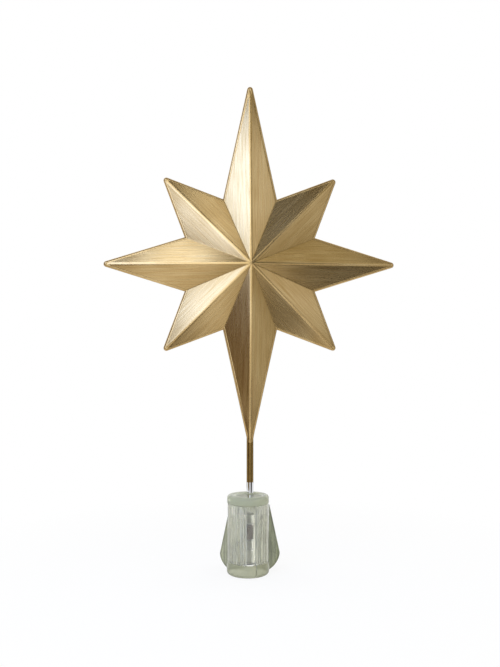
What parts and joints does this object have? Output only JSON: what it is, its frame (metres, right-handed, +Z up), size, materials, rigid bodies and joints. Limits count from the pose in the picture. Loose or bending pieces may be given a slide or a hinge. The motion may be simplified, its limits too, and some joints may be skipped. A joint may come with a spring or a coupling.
{
  "type": "tree topper star",
  "caption": "Faceted brass star on a stem, held by a clear sprung claw clip that grips the top shoot of a tree.",
  "frame": {"origin": "on the stem's axis, in the plane of the grip fins' lower end, where the tree's top shoot is first gripped", "axes": "+Z up along the stem, front of the star towards -Y, +X to the viewer's right"},
  "size_m": [0.254, 0.0524, 0.4253],
  "materials": {
    "brushed_brass": "brushed, antique",
    "dark_brass": "satin, antique",
    "plain_steel": "satin",
    "chrome": "polished",
    "clear_plastic": "clear, gloss",
    "spring_steel": "satin",
    "blackened_steel": "dark"
  },
  "bodies": {
    "clip": {"clip_cap": "clear_plastic", "hinge_pin": "plain_steel", "pin_retainer": "blackened_steel", "torsion_spring": "spring_steel"},
    "jaw_left": {"left_jaw": "clear_plastic"},
    "jaw_right": {"right_jaw": "clear_plastic"},
    "post": {"steel_post": "chrome"},
    "star": {"star_front_shell": "brushed_brass", "star_back_shell": "brushed_brass", "stem_tube": "dark_brass", "stem_bracket_lower": "plain_steel", "stem_bracket_upper": "plain_steel"}
  },
  "joints": [
    {"name": "left_jaw_open", "type": "hinge", "parent": "clip", "child": "jaw_left", "pos_m": [0, 0.0185, 0], "axis": [0, 0, -1], "range_deg": [0, 22], "stiffness_Nm_per_rad": 0.24, "springref_deg": -57.3, "deforming": ["torsion_spring"]},
    {"name": "right_jaw_open", "type": "hinge", "parent": "clip", "child": "jaw_right", "pos_m": [0, 0.0185, 0], "axis": [0, 0, 1], "range_deg": [0, 22], "stiffness_Nm_per_rad": 0.24, "springref_deg": -57.3, "deforming": ["torsion_spring"]},
    {"name": "post_lift", "type": "slide", "parent": "clip", "child": "post", "axis": [0, 0, 1], "range_m": [0, 0.014]},
    {"name": "star_swivel", "type": "hinge", "parent": "post", "child": "star", "pos_m": [0, 0, 0.069], "axis": [0, 0, 1], "continuous": true}
  ],
  "couplings": [
    {"joint": "right_jaw_open", "follows": "left_jaw_open", "ratio": 1}
  ]
}
